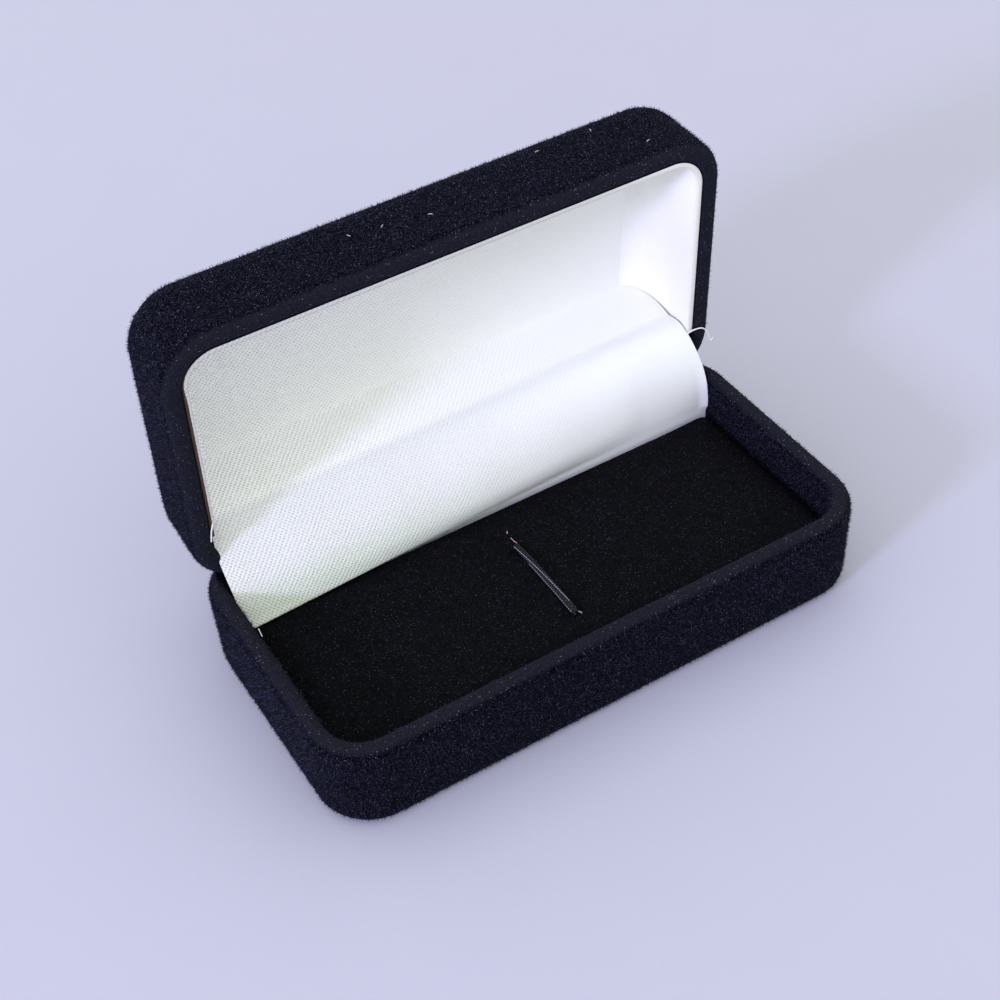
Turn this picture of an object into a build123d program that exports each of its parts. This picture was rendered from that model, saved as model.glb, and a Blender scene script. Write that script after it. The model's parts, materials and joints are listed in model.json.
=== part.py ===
from build123d import *
import math
import os

# A hinged cufflink case: two moulded, flocked shells on a sprung steel hinge.
# The base holds a velvet pad with an elastic strap, the lid a satin lining.
# X runs along the case, Y from its front to its hinge, Z up from the table.
# Everything is drawn with the lid shut, and the lid's pieces are then swung open.

# ---- the closed case, in millimetres and degrees ----
case_length = 85.0
case_depth = 44.0
base_height = 14.7
lid_height = 14.5
rim_gap = 0.2
plan_radius = 8.2
base_draft = 1.3
lid_draft = 1.0
base_edge_radius = 2.1
lid_edge_radius = 4.9

# ---- shell walls ----
base_wall = 2.85
lid_wall = 3.05
base_floor = 1.5
lid_roof = 1.2
rim_radius_outside = 1.5
rim_radius_inside = 1.2
base_cavity_radius = 1.0
lid_cavity_radius = 3.2

# ---- where the lid turns, and the bed that the open lid lies in ----
hinge_inset = 3.43
hinge_rise = 1.3
open_angle = 86.5
bed_clearance = 0.25
bed_reach = 2.0

# ---- steel hinge ----
leaf_thickness = 0.5
leaf_length = 48.0
leaf_bend = 0.4
flange_height = 6.5
web_clearance = 0.9
bay_wall = 1.5
bay_margin = 1.5
pin_radius = 0.6
pin_reach = 1.2
pin_head_radius = 1.1
pin_head_height = 0.45
running_gap = 0.05
ear_radius = 1.5
ear_gap = 0.15
ear_neck = 1.9
cam_reach = 1.41
cam_top = 1.45
cam_corner = 0.7
curl_corner = 1.0
curl_end_gap = 0.55
riser_gap = 2.5
riser_rise = -0.1
spring_thickness = 0.3
spring_width = 1.5
spring_length = 34.0
spring_drop = 1.5
spring_gap = 0.02
lug_length = 0.5
lug_depth = 0.6
stud_radius = 0.9
stud_head_radius = 1.5
stud_head_height = 0.5
stud_spacing = 15.0
stud_count = 3

# ---- pad, and the posts and ribs that carry it ----
pad_drop = 5.55
pad_gap = 0.3
pad_edge_radius = 0.8
pad_rear_corner = 1.0
pad_rear_inset = 8.6
velvet_thickness = 0.4
velvet_tuck = 4.0
foam_thickness = 1.6
pad_card_thickness = 0.9
rib_thickness = 1.2
rib_depth = 2.2
rib_spacing = 25.0
post_size = 2.0
rear_post_x = 30.0
flap_post_x = 29.0

# ---- elastic strap ----
strap_width = 1.2
strap_thickness = 0.6
strap_bend = 0.25
strap_span = 17.1
strap_forward = 0.225
strap_shift = -0.3
strap_tail = 5.0
strap_hole_gap = 0.2
staple_radius = 0.2
staple_span = 2.4
staple_bite = 0.5

# ---- satin lining ----
card_thickness = 0.5
satin_thickness = 0.2
glue = 0.02
lining_gap = 0.1
lining_setback = 0.5
lining_roll = 4.2
fold_a_inset = 11.3
fold_b_inset = 9.3
fold_b_rise = 4.9
fold_return_rise = 3.4
flap_gap = 0.25
flap_side_gap = 0.3
flap_tail_rise = 1.5
anchor_card_thickness = 0.6
anchor_card_drop = 0.3
anchor_card_side_gap = 2.0
# how the open flap hangs: corners (Y, Z) from the hinge's axis, and the bends from the pad up
flap_hang = [(-5.17, -3.0), (-2.9, 1.9), (0.7, 5.75)]
flap_bends = [20.0, 8.0, 8.0, 2.5, 0.5]

# ---- worked out from the sizes above ----
rear = case_depth / 2
half_length = case_length / 2
hinge_y = rear - hinge_inset
hinge_z = base_height + hinge_rise
hinge_axis = Axis((0, hinge_y, hinge_z), (1, 0, 0))
lid_rim = base_height + rim_gap
lid_top = lid_rim + lid_height
roof_inside = lid_top - lid_roof
base_inside_y = rear - base_wall
lid_inside_x = half_length - lid_wall
lid_inside_y = rear - lid_wall
bay_y = rear - bay_wall
bay_half = leaf_length / 2 + bay_margin
web_top = hinge_z - hinge_inset - bed_clearance - web_clearance
riser_y = hinge_y - riser_gap
ear_x = leaf_length / 2
curl_half = ear_x - leaf_thickness - ear_gap
pad_half = half_length - base_wall - pad_gap
pad_front = -base_inside_y + pad_gap
pad_rear = rear - pad_rear_inset
pad_corner = plan_radius - base_wall - pad_gap
pad_top = base_height - pad_drop
foam_top = pad_top - velvet_thickness
card_top = foam_top - foam_thickness
card_bottom = card_top - pad_card_thickness
pad_seat = card_bottom - velvet_thickness
lining = card_thickness + satin_thickness
flap_y = pad_rear + flap_gap
anchor_y = flap_y + satin_thickness + lining_gap
strap_middle = (pad_front + pad_rear) / 2 - strap_forward
strap_rear = strap_middle + strap_span / 2
strap_front = strap_middle - strap_span / 2
stud_places = [stud_spacing * (i - (stud_count - 1) / 2) for i in range(stud_count)]
strap_ends = (strap_rear - strap_thickness, strap_front)


def swing_open(shape):
    """Turns a piece drawn on the shut lid to the lid's open rest."""
    return shape.rotate(hinge_axis, -open_angle)


def block(x_range, y_range, z_range):
    """A box given by its low and high sides."""
    low = (x_range[0], y_range[0], z_range[0])
    size = (x_range[1] - low[0], y_range[1] - low[1], z_range[1] - low[2])
    return Pos(*low) * Box(*size, align=(Align.MIN, Align.MIN, Align.MIN))


def along_x(face, length, start=None):
    """Extrudes a profile of the Y-Z plane, centred on X unless a start is given."""
    first = -length / 2 if start is None else start
    return extrude(Pos(first, 0, 0) * face, length, dir=(1, 0, 0))


def profile(points):
    """A closed outline in the Y-Z plane."""
    return make_face(Plane.YZ * Polyline(*points, close=True))


def strip_profile(points, radii, thickness):
    """A bent strip in the Y-Z plane, whose middle line has those corners and bend radii."""
    return Plane.YZ * trace(FilletPolyline(*points, radius=radii), thickness)


def case_outline(z, inset=0.0):
    """The case's plan outline at a height, brought in all round."""
    size = (case_length - 2 * inset, case_depth - 2 * inset)
    return Pos(0, 0, z) * RectangleRounded(*size, plan_radius - inset)


def shell(height, draft, wall, floor, edge_radius, cavity_radius):
    """A tray with drafted sides, rounded plan corners and a soft bead round its rim."""
    tray = extrude(case_outline(height), -height, taper=draft)
    tray = fillet(tray.edges().group_by(Axis.Z)[0], edge_radius)
    cavity = extrude(case_outline(height, wall), floor - height)
    cavity = fillet(cavity.edges().group_by(Axis.Z)[0], cavity_radius)
    tray -= cavity
    rim = tray.faces().sort_by(Axis.Z)[-1]
    tray = fillet(rim.outer_wire().edges(), rim_radius_outside)
    rim = tray.faces().sort_by(Axis.Z)[-1]
    return fillet(rim.inner_wires()[0].edges(), rim_radius_inside)


def rivet(radius, length, head_radius, head_height):
    """A shank along Z from the origin, with a domed head on its far end."""
    shank = extrude(Circle(radius), length)
    head = extrude(Pos(0, 0, length) * Circle(head_radius), head_height)
    head = fillet(head.edges().group_by(Axis.Z)[-1], head_height * 0.8)
    return shank + head


def leaf_studs(z):
    """Moulded studs on a rear wall, headed over a hinge leaf's flange."""
    stud = rivet(stud_radius, leaf_thickness, stud_head_radius, stud_head_height)
    facing = Plane(origin=(0, bay_y, z), z_dir=(0, -1, 0))
    return [Pos(x, 0, 0) * (facing * stud) for x in stud_places]


def stud_holes(z):
    """The holes of a leaf's flange for its studs."""
    facing = Plane(origin=(0, bay_y + 1, z), z_dir=(0, -1, 0))
    hole = facing * extrude(Circle(stud_radius + running_gap), 3)
    return [Pos(x, 0, 0) * hole for x in stud_places]


# ---- base ----
def make_base_shell():
    tray = shell(
        base_height, base_draft, base_wall, base_floor, base_edge_radius, base_cavity_radius
    )
    # the rear rim is let down to the outline of the open lid, which beds in it
    tray -= swing_open(extrude(case_outline(lid_rim - bed_reach, -bed_clearance), lid_height))
    flange_bottom = web_top - flange_height
    tray -= block((-bay_half, bay_half), (bay_y - base_wall, bay_y), (flange_bottom, base_height))
    for stud in leaf_studs(web_top - flange_height / 2):
        tray += stud
    heights = (base_floor, pad_seat)
    half_rib = rib_thickness / 2
    for x in (-rib_spacing, 0, rib_spacing):
        place = (x - half_rib, x + half_rib)
        tray += block(place, (-base_inside_y, -base_inside_y + rib_depth), heights)
    wall_x = half_length - base_wall
    for low in (-wall_x, wall_x - rib_depth):
        tray += block((low, low + rib_depth), (-half_rib, half_rib), heights)
    for x in (-rear_post_x, rear_post_x):
        place = (x - post_size / 2, x + post_size / 2)
        tray += block(place, (pad_rear - 2 * post_size, pad_rear - post_size), heights)
    behind_card = anchor_y + anchor_card_thickness
    for x in (-flap_post_x, flap_post_x):
        place = (x - post_size / 2, x + post_size / 2)
        tray += block(place, (behind_card, behind_card + post_size), (base_floor, pad_top - 1))
    return tray


def make_base_leaf():
    """A stamped leaf that is bent forward under the open lid's rim and up to the pins."""
    half = leaf_thickness / 2
    path = [
        (bay_y - half, web_top - flange_height),
        (bay_y - half, web_top - half),
        (riser_y - half, web_top - half),
        (riser_y - half, hinge_z + riser_rise),
    ]
    leaf = along_x(strip_profile(path, leaf_bend + half, leaf_thickness), leaf_length)
    front = riser_y - leaf_thickness
    neck = Polyline((front, hinge_z + riser_rise), (front, hinge_z - ear_neck))
    knuckle = Pos(hinge_y, hinge_z) * Circle(ear_radius)
    ear = Plane.YZ * make_hull([*neck.edges(), *knuckle.edges()])
    for start in (-ear_x, ear_x - leaf_thickness):
        leaf += along_x(ear, leaf_thickness, start)
    pin_hole = Plane.YZ * (Pos(hinge_y, hinge_z) * Circle(pin_radius))
    leaf -= along_x(pin_hole, leaf_length + 1)
    lug_heights = (hinge_z - spring_drop, hinge_z - spring_drop + spring_width)
    lug_start = spring_length / 2 + running_gap
    for low in (-lug_start - lug_length, lug_start):
        leaf += block((low, low + lug_length), (riser_y, riser_y + lug_depth), lug_heights)
    for hole in stud_holes(web_top - flange_height / 2):
        leaf -= hole
    return leaf


def make_hinge_pins():
    pin = rivet(pin_radius, ear_x - curl_half + pin_reach, pin_head_radius, pin_head_height)
    start = curl_half - pin_reach
    right = Plane(origin=(start, hinge_y, hinge_z), z_dir=(1, 0, 0)) * pin
    left = Plane(origin=(-start, hinge_y, hinge_z), z_dir=(-1, 0, 0)) * pin
    return Compound([left, right])


def make_snap_spring():
    """A bowed strip on the base leaf that presses on the flats of the lid leaf's curl."""
    seat = riser_y + spring_thickness
    crown = hinge_y - cam_reach - spring_gap
    end = spring_length / 2
    bow = ThreePointArc((-end, seat), (0, crown), (end, seat))
    strip = make_face(offset(bow, spring_thickness, side=Side.RIGHT, closed=True))
    return extrude(Pos(0, 0, hinge_z - spring_drop) * strip, spring_width)


def pad_board(inset, low, high, top_radius=0.0):
    """The pad's outline, brought in all round, between two heights."""
    size = (2 * (pad_half - inset), pad_rear - pad_front - 2 * inset)
    outline = Rectangle(*size)
    by_depth = outline.vertices().group_by(Axis.Y)
    outline = fillet(by_depth[0], pad_corner - inset)
    outline = fillet(outline.vertices().group_by(Axis.Y)[-1], max(pad_rear_corner - inset, 0.2))
    board = extrude(Pos(0, (pad_rear + pad_front) / 2, low) * outline, high - low)
    if top_radius:
        board = fillet(board.edges().group_by(Axis.Z)[-1], top_radius)
    return board


def strap_slots():
    """The slots in the pad that the strap's ends go down through."""
    half = strap_width / 2 + strap_hole_gap
    slots = []
    for y in strap_ends:
        depth = (y - strap_hole_gap, y + strap_thickness + strap_hole_gap)
        slots.append(block((strap_shift - half, strap_shift + half), depth, (0, base_height)))
    return slots


def make_pad_velvet():
    inner_radius = pad_edge_radius - velvet_thickness
    cover = pad_board(0, pad_seat, pad_top, pad_edge_radius)
    cover -= pad_board(velvet_thickness, card_bottom, foam_top, inner_radius)
    cover -= pad_board(velvet_thickness + velvet_tuck, 0, card_bottom)
    return cover - strap_slots()


def make_pad_foam():
    radius = pad_edge_radius - velvet_thickness
    return pad_board(velvet_thickness, card_top, foam_top, radius) - strap_slots()


def staple_places():
    """The middle of each staple's crown, under a tail of the strap."""
    z = card_bottom - strap_thickness - staple_radius
    rear_tail = strap_rear - strap_tail / 2
    front_tail = strap_front + strap_tail / 2
    return [(strap_shift, y, z) for y in (rear_tail, front_tail)]


def make_pad_card():
    card = pad_board(velvet_thickness, card_bottom, card_top) - strap_slots()
    for x, y, z in staple_places():
        for side in (-1, 1):
            leg = Pos(x + side * staple_span / 2, y, z) * Circle(staple_radius)
            card -= extrude(leg, card_bottom + staple_bite - z)
    return card


def make_strap():
    half = strap_thickness / 2
    low, high = card_bottom - half, pad_top + half
    rear_leg, front_leg = strap_rear - half, strap_front + half
    path = [
        (strap_rear - strap_tail, low),
        (rear_leg, low),
        (rear_leg, high),
        (front_leg, high),
        (front_leg, low),
        (strap_front + strap_tail, low),
    ]
    band = strip_profile(path, strap_bend + half, strap_thickness)
    return along_x(band, strap_width, strap_shift - strap_width / 2)


def make_staples():
    half = staple_span / 2
    staples = []
    for x, y, z in staple_places():
        top = card_bottom + staple_bite
        points = [(x - half, y, top), (x - half, y, z), (x + half, y, z), (x + half, y, top)]
        wire = FilletPolyline(*points, radius=staple_radius * 1.5)
        section = Plane(origin=points[0], z_dir=(0, 0, -1)) * Circle(staple_radius)
        staples.append(sweep(section, path=wire))
    return Compound(staples)


def make_anchor_card():
    half = half_length - base_wall - anchor_card_side_gap
    depth = (anchor_y, anchor_y + anchor_card_thickness)
    return block((-half, half), depth, (base_floor, pad_top - anchor_card_drop))


# ---- lid, drawn shut ----
def make_lid_shell():
    tray = shell(lid_height, lid_draft, lid_wall, lid_roof, lid_edge_radius, lid_cavity_radius)
    lid = Pos(0, 0, lid_top) * Rot(180, 0, 0) * tray
    bay_top = hinge_z + flange_height
    lid -= block((-bay_half, bay_half), (bay_y - lid_wall, bay_y), (lid_rim - 1, bay_top))
    for stud in leaf_studs(lid_stud_z):
        lid += stud
    return lid


lid_stud_z = hinge_z + (flange_height + cam_top) / 2


def make_lid_leaf():
    """A leaf whose edge is curled into a two-flat cam, closed by a tab at each end."""
    half = leaf_thickness / 2
    tilt = math.radians(90 - open_angle)
    rear_y = bay_y - half
    front = hinge_y - cam_reach + half
    top = hinge_z + cam_top - half

    def flat_height(y):
        """Height of the flat that faces the spring when the lid is open."""
        return hinge_z - (cam_reach - half + (y - hinge_y) * math.sin(tilt)) / math.cos(tilt)

    corners = [(rear_y, flat_height(rear_y)), (front, flat_height(front)), (front, top)]
    radii = [curl_corner - half, cam_corner - half, cam_corner - half]
    flange_end = (rear_y, hinge_z + flange_height)
    curl_end = (rear_y - half - curl_end_gap, top)
    curl = strip_profile([flange_end, *corners, curl_end], radii, leaf_thickness)
    leaf = along_x(curl, 2 * curl_half)
    tab = FilletPolyline(*corners, (rear_y, top), radius=[*radii, half], close=True)
    for start in (-curl_half, curl_half - leaf_thickness):
        leaf += along_x(Plane.YZ * make_face(tab), leaf_thickness, start)
    pin_hole = Plane.YZ * (Pos(hinge_y, hinge_z) * Circle(pin_radius + running_gap))
    leaf -= along_x(pin_hole, case_length)
    for hole in stud_holes(lid_stud_z):
        leaf -= hole
    return leaf


def lining_room(inset, top, roll):
    """The room inside one layer of the lining, with its upper edge rolled."""
    outline = case_outline(lining_rim, lid_wall + lining_gap + inset)
    return fillet(extrude(outline, top - lining_rim).edges().group_by(Axis.Z)[-1], roll)


lining_rim = lid_rim + lining_setback
card_room = lining_room(card_thickness, roof_inside - card_thickness, lining_roll + satin_thickness)
satin_room = lining_room(lining, roof_inside - lining, lining_roll)
lid_room = lining_room(0, roof_inside, lining_roll + lining)
ceiling_edge = lid_wall + lining_gap + lining + lining_roll
ceiling_half = half_length - ceiling_edge
ceiling_front = -rear + ceiling_edge
fold_a = (rear - fold_a_inset, roof_inside - lining)
fold_b = (rear - fold_b_inset, lid_rim + fold_b_rise)


def ceiling_panel(low, high):
    return block((-ceiling_half, ceiling_half), (ceiling_front, fold_a[0]), (low, high))


def wall_lining():
    """Card and satin together, round the lid's front and sides and up to the ceiling."""
    ends = [(fold_b[0], lid_rim), fold_b, fold_a, (fold_a[0], lid_top)]
    over_hinge = along_x(profile([*ends, (rear, lid_top), (rear, lid_rim)]), case_length)
    return lid_room - satin_room - over_hinge - ceiling_panel(lid_rim, lid_top)


def make_wall_card():
    hem = (lining_rim, lining_rim + satin_thickness)
    return wall_lining() - card_room - block((-half_length, half_length), (-rear, rear), hem)


def make_wall_satin():
    """The satin lies on the card and turns over its lower edge."""
    return wall_lining() - make_wall_card()


def make_back_card():
    """The folded card that carries the satin over the hinge and returns to the rear wall."""
    behind = satin_thickness + lining_gap + card_thickness / 2
    path = [
        (fold_a[0] + behind, fold_a[1]),
        (fold_b[0] + behind, fold_b[1] + behind),
        (lid_inside_y - lining_gap, fold_b[1] + fold_return_rise),
    ]
    return along_x(strip_profile(path, card_thickness, card_thickness), case_length) & lid_room


def opened(point):
    """Where a point (Y, Z) of the shut lid lies when the lid is open."""
    turn = math.radians(open_angle)
    y, z = point[0] - hinge_y, point[1] - hinge_z
    swung_y = y * math.cos(turn) + z * math.sin(turn)
    return hinge_y + swung_y, hinge_z + z * math.cos(turn) - y * math.sin(turn)


def make_hinge_satin():
    """The satin over the hinge: a strip on the lid, then a loose flap down to the base."""
    half = satin_thickness / 2
    behind = half + glue
    path = [
        (flap_y + half, base_floor + flap_tail_rise),
        (flap_y + half, pad_top),
        *[(hinge_y + y, hinge_z + z) for y, z in flap_hang],
        opened((fold_b[0] + behind, fold_b[1])),
        opened((fold_a[0] + behind, fold_a[1])),
    ]
    sheet = along_x(strip_profile(path, flap_bends, satin_thickness), 2 * flap_half)
    # inside the lid the ends of the sheet follow first its wall and then the lining
    sides = (-half_length, half_length)
    wall_line = extrude(case_outline(lid_rim, lid_wall + lining_gap), fold_b_rise)
    beside_flap = block(sides, (0, rear), (lid_rim, fold_b[1])) - wall_line
    beside_strip = block(sides, (0, rear), (fold_b[1], lid_top)) - satin_room
    return sheet - swing_open(beside_flap) - swing_open(beside_strip)


flap_half = lid_inside_x - flap_side_gap


pieces = {
    "base_shell": make_base_shell(),
    "base_hinge_leaf": make_base_leaf(),
    "hinge_pins": make_hinge_pins(),
    "snap_spring": make_snap_spring(),
    "pad_card": make_pad_card(),
    "pad_foam": make_pad_foam(),
    "pad_velvet": make_pad_velvet(),
    "elastic_strap": make_strap(),
    "strap_staples": make_staples(),
    "flap_anchor_card": make_anchor_card(),
    "hinge_satin": make_hinge_satin(),
    "lid_shell": swing_open(make_lid_shell()),
    "lid_hinge_leaf": swing_open(make_lid_leaf()),
    "lid_wall_card": swing_open(make_wall_card()),
    "lid_wall_satin": swing_open(make_wall_satin()),
    "lid_back_card": swing_open(make_back_card()),
    "lid_ceiling_card": swing_open(ceiling_panel(roof_inside - card_thickness, roof_inside)),
    "lid_ceiling_satin": swing_open(
        ceiling_panel(roof_inside - lining, roof_inside - card_thickness)
    ),
}

os.makedirs("parts", exist_ok=True)
for name, piece in pieces.items():
    piece.label = name
    export_step(piece, f"parts/{name}.step")
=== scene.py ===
import json
import math

import bmesh
import bpy
import numpy as np
from mathutils import Matrix, Vector


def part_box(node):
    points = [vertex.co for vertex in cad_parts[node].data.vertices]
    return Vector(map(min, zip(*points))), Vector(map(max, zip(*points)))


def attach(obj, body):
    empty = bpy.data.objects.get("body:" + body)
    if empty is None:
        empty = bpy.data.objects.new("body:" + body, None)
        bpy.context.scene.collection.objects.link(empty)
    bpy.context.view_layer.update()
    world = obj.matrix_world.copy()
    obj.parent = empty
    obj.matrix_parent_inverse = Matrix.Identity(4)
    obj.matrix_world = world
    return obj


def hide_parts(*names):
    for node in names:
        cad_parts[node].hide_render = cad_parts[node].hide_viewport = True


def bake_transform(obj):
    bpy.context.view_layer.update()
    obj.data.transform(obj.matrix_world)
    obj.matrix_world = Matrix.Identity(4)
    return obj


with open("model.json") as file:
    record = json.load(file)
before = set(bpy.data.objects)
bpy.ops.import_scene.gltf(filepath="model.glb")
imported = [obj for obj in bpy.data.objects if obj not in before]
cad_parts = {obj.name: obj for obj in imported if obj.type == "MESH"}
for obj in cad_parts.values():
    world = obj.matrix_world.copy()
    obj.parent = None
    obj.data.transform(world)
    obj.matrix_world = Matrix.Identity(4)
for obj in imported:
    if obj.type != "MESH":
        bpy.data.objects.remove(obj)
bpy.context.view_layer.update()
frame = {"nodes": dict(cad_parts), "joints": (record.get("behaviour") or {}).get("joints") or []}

nodes = frame["nodes"]
scene = bpy.context.scene

# ---------------------------------------------------------------- camera
# The open case is seen from its front left corner and from well above, with
# the long lens of a small product shot.
camera = bpy.data.objects.new("camera", bpy.data.cameras.new("camera"))
scene.collection.objects.link(camera)
scene.camera = camera
camera_right = (0.85300432, -0.519065, -0.05436135)
camera_up = (0.39079646, 0.56620916, 0.72573088)
camera_back = (-0.34592161, -0.6402958, 0.68582763)
camera_place = (-0.0880858, -0.1543042, 0.1892266)
camera_turn = Matrix((camera_right, camera_up, camera_back)).transposed().to_4x4()
camera.matrix_world = Matrix.Translation(camera_place) @ camera_turn
camera.data.sensor_width = 36
camera.data.lens = 64.745
camera.data.clip_start = 0.005

# ---------------------------------------------------------------- flocked shells
# Both shells are moulded in hard plastic, coated with glue and blown with short
# nylon fibre, which stands on end as a deep navy nap over sides, rims and walls.


class Tone:
    """A number that changes over a surface. Sums and products of tones add Math nodes."""

    def __init__(self, finish, socket):
        self.finish = finish
        self.socket = socket

    def maths(self, operation, *numbers):
        sockets = dict(enumerate(numbers))
        return self.finish.node("ShaderNodeMath", {"operation": operation}, sockets)

    def __add__(self, other):
        return self.maths("ADD", self, other)

    def __sub__(self, other):
        return self.maths("SUBTRACT", self, other)

    def __rsub__(self, other):
        return self.maths("SUBTRACT", other, self)

    def __mul__(self, other):
        return self.maths("MULTIPLY", self, other)

    __radd__ = __add__
    __rmul__ = __mul__


class Finish:
    """A material. Its constants go straight on the shader, and node() makes the rest."""

    def __init__(self, name, **constants):
        self.material = bpy.data.materials.new(name)
        self.material.use_nodes = True
        self.nodes = self.material.node_tree.nodes
        self.shader = self.nodes["Principled BSDF"]
        for words, value in constants.items():
            self.shader.inputs[words.replace("_", " ")].default_value = value

    def node(self, kind, settings=None, sockets=None, output=0):
        made = self.nodes.new(kind)
        for setting, value in (settings or {}).items():
            setattr(made, setting, value)
        for socket, value in (sockets or {}).items():
            self.feed(made.inputs[socket], value)
        return Tone(self, made.outputs[output])

    def feed(self, socket, value):
        if isinstance(value, Tone):
            self.material.node_tree.links.new(value.socket, socket)
        else:
            socket.default_value = value

    def show(self, **tones):
        for words, tone in tones.items():
            self.feed(self.shader.inputs[words.replace("_", " ")], tone)

    def place(self):
        return self.node("ShaderNodeTexCoord", output="Object")

    def coordinate(self, place, axis):
        """One number of a place: 0 for X, 1 for Y and 2 for Z."""
        return self.node("ShaderNodeSeparateXYZ", {}, {0: place}, axis)

    def stretched(self, place, scale):
        return self.node("ShaderNodeMapping", {}, {"Vector": place, "Scale": scale})

    def grain(self, scale, detail=2.0, at=None):
        """Noise with so many grains to the metre."""
        sockets = {"Vector": at or self.place(), "Scale": scale, "Detail": detail}
        return self.node("ShaderNodeTexNoise", {}, sockets)

    def dots(self, scale, share, size):
        """Round dots in a given share of the cells, with so many cells to the metre."""
        sockets = {"Vector": self.place(), "Scale": scale}
        near = self.node("ShaderNodeTexVoronoi", {}, sockets)
        drawn = self.node("ShaderNodeTexVoronoi", {}, sockets, "Color")
        lot = self.node("ShaderNodeSeparateColor", {}, {0: drawn})
        return self.ramp(near, size, size * 0.4) * self.ramp(lot, 1 - share, 1 - share * 0.6)

    def ramp(self, tone, low, high):
        """Goes smoothly from 0 to 1 as the tone goes from low to high."""
        settings = {"interpolation_type": "SMOOTHSTEP"}
        sockets = {"Value": tone, "From Min": low, "From Max": high}
        return self.node("ShaderNodeMapRange", settings, sockets)

    def mix(self, share, first, second):
        """Two colours, the second by its share."""
        sockets = {0: share, 6: first, 7: second}
        return self.node("ShaderNodeMix", {"data_type": "RGBA"}, sockets, 2)

    def bump(self, height, depth):
        """A relief of that depth, in metres."""
        return self.node("ShaderNodeBump", {}, {"Height": height, "Distance": depth})

    def on(self, *pieces):
        for piece in pieces:
            piece.data.materials.clear()
            piece.data.materials.append(self.material)


def add_piece(name, mesh):
    piece = bpy.data.objects.new(name, mesh)
    scene.collection.objects.link(piece)
    return piece


def mesh_of(bm, name, smooth=True):
    mesh = bpy.data.meshes.new(name)
    bm.to_mesh(mesh)
    bm.free()
    if smooth:
        mesh.shade_smooth()
    return mesh


lid_joint = frame["joints"][0]
hinge_y, hinge_z = (1000 * value for value in lid_joint["pos_m"][1:])
open_angle = math.radians(lid_joint["range_deg"][1])
rubbed_and_lit_band = 0.0007


def flocked(name, depth, outward, rim):
    """Navy nap, greyer on the rim, which is at that height outward: partly rubbed wear, partly
    painted sheen.
    """
    flock = Finish(
        name,
        Roughness=0.95,
        Specular_IOR_Level=0.02,
        Sheen_Weight=0.045,
        Sheen_Roughness=0.3,
        Sheen_Tint=(0.4, 0.42, 0.8, 1),
    )
    tufts = flock.grain(2900, 3)
    pile = flock.grain(4600, 2)
    # depth scales the nap's colours; below 1 it is painted shade
    in_shade = (0.0006 * depth, 0.0006 * depth, 0.0018 * depth, 1)
    in_light = (0.0075 * depth, 0.0078 * depth, 0.0165 * depth, 1)
    nap_colour = flock.mix(flock.ramp(tufts, 0.4, 0.64), in_shade, in_light)
    ends_shown = flock.ramp(pile, 0.58, 0.71)
    lit_ends = flock.mix(ends_shown, nap_colour, (0.034, 0.036, 0.074, 1))
    sockets = {0: flock.place(), 1: outward}
    height = flock.node("ShaderNodeVectorMath", {"operation": "DOT_PRODUCT"}, sockets, 1)
    # the rim's grey is partly rubbed wear and partly painted sheen
    rubbed_and_lit = flock.ramp(height, rim - rubbed_and_lit_band, rim) * 0.5
    worn_and_lit = flock.mix(rubbed_and_lit, lit_ends, (0.021, 0.022, 0.032, 1))
    # the pale dots are painted glints, fibre tips catching the light
    flock.show(
        Base_Color=flock.mix(flock.dots(5200, 0.05, 0.42), worn_and_lit, (0.2, 0.2, 0.28, 1)),
        Normal=flock.bump(pile + tufts * 1.4, 0.00022),
    )
    return flock


base_rim_height, rim_past_hinge = 0.0146, 0.0008
# painted shade: the base's nap is painted a quarter darker than the lid's, as its front gets less
# light than the open lid's top
flocked("base_flock", 0.75, (0, 0, 1), base_rim_height).on(nodes["base_shell"])
lid_outward = (0, -math.sin(open_angle), -math.cos(open_angle))
lid_rim = (lid_outward[1] * hinge_y + lid_outward[2] * hinge_z) / 1000 + rim_past_hinge
flocked("lid_flock", 1.0, lid_outward, lid_rim).on(nodes["lid_shell"])

dark_fibre = Finish("flock_fibre_dark", Roughness=0.8, Specular_IOR_Level=0.1)
dark_fibre.show(Base_Color=(0.003, 0.003, 0.0075, 1))
lit_fibre = Finish("flock_fibre_lit", Roughness=0.7, Specular_IOR_Level=0.2)
lit_fibre.show(Base_Color=(0.035, 0.036, 0.085, 1))
lit_share, sunk = 0.25, 0.00005


def spots_on(shell, count, chance):
    """Evenly spread points of a shell and their outward normals."""
    mesh = shell.data
    mesh.calc_loop_triangles()
    corners = np.empty(len(mesh.vertices) * 3)
    mesh.vertices.foreach_get("co", corners)
    order = np.empty(len(mesh.loop_triangles) * 3, int)
    mesh.loop_triangles.foreach_get("vertices", order)
    a, b, c = corners.reshape(-1, 3)[order.reshape(-1, 3)].transpose(1, 0, 2)
    across = np.cross(b - a, c - a)
    size = np.linalg.norm(across, axis=1)
    drawn = chance.choice(len(size), count, p=size / size.sum())
    u, v = chance.random((2, count, 1))
    u, v = np.where(u + v > 1, 1 - u, u), np.where(u + v > 1, 1 - v, v)
    spots = a[drawn] + u * (b[drawn] - a[drawn]) + v * (c[drawn] - a[drawn])
    return spots, across[drawn] / size[drawn, None]


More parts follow.
